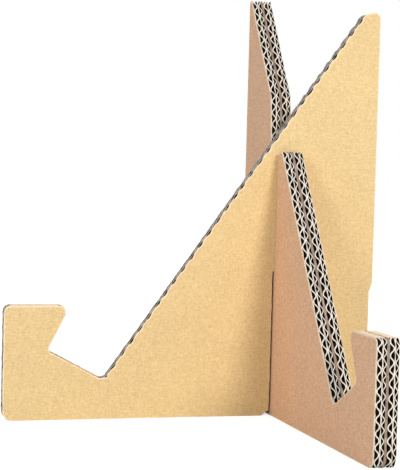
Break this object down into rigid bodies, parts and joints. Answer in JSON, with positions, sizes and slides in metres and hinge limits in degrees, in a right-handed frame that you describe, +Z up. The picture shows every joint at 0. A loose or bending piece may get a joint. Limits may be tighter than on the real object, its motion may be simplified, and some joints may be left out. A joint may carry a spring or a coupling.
{
  "type": "cardboard display stand",
  "caption": "Corrugated cardboard easel: crossing slotted panels with low front hooks and a long slope that hold up a leaning board or picture.",
  "frame": {"origin": "centre of the stand's footprint box, on the floor", "axes": "+Z up; the left panel runs along X with its hook at low X, the right panel along Y with its hook at low Y"},
  "size_m": [0.2512, 0.2512, 0.2829],
  "materials": {
    "left_board": "matte",
    "right_board": "matte"
  },
  "bodies": {
    "root": {"left_panel_front_board": "left_board", "left_panel_back_board": "left_board", "right_panel_inner_board": "right_board", "right_panel_outer_board": "right_board"}
  },
  "joints": []
}
